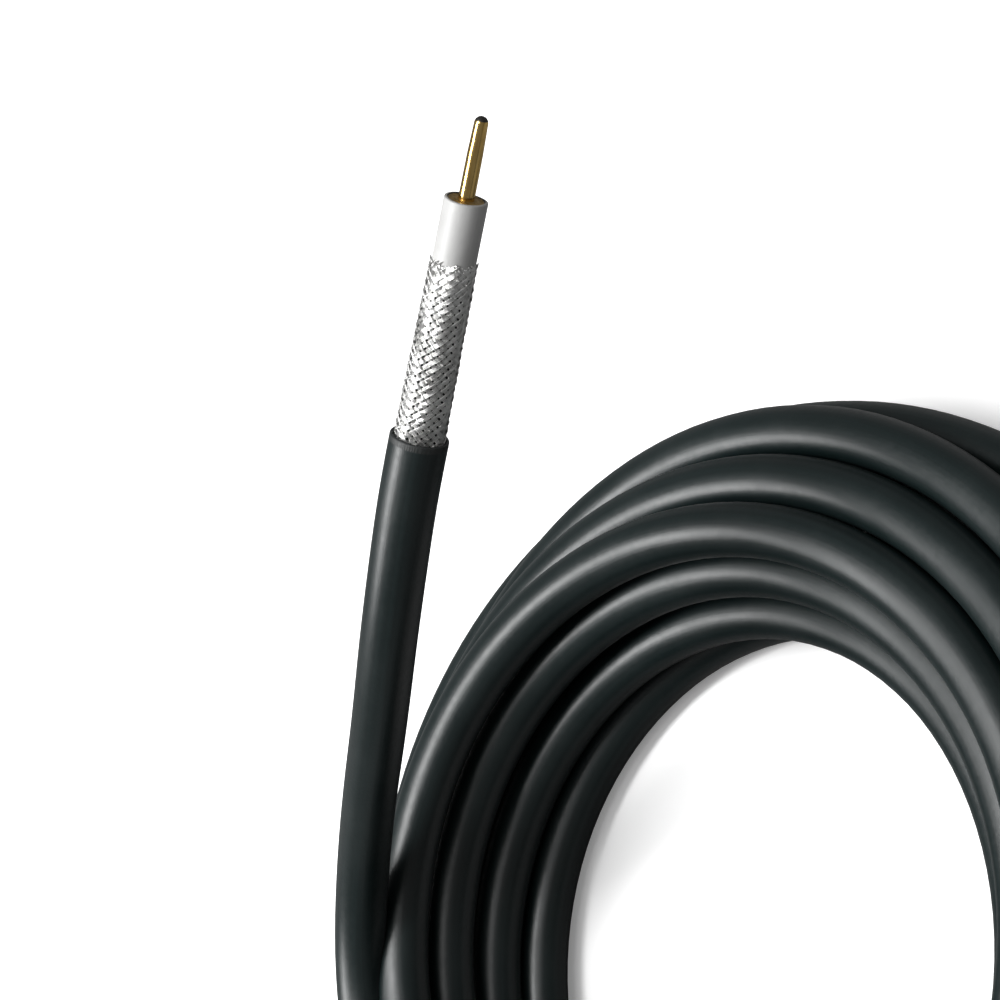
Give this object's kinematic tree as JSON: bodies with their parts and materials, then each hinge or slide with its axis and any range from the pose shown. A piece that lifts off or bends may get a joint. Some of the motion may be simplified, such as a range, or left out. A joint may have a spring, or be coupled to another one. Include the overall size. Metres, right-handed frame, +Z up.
{
  "type": "coaxial cable coil",
  "caption": "Loose flat coil of thick black coaxial cable, with its free end springing up to a stripped end of braid, dielectric and centre conductor.",
  "frame": {"origin": "bottom centre of the bounding box, on the level floor that the coil lies on", "axes": "+Z up along the coil's axis, +X the way the stripped end points, +Y the far side of the coil in the picture"},
  "size_m": [0.23, 0.2032, 0.1225],
  "materials": {
    "jacket": "satin",
    "braid": "woven tinned wire",
    "dielectric": "smooth",
    "conductor": "polished"
  },
  "bodies": {
    "root": {"cable_coil": "jacket", "free_end_jacket": "jacket", "braid_sleeve": "braid", "dielectric_insulator": "dielectric", "centre_conductor": "conductor"}
  },
  "joints": []
}
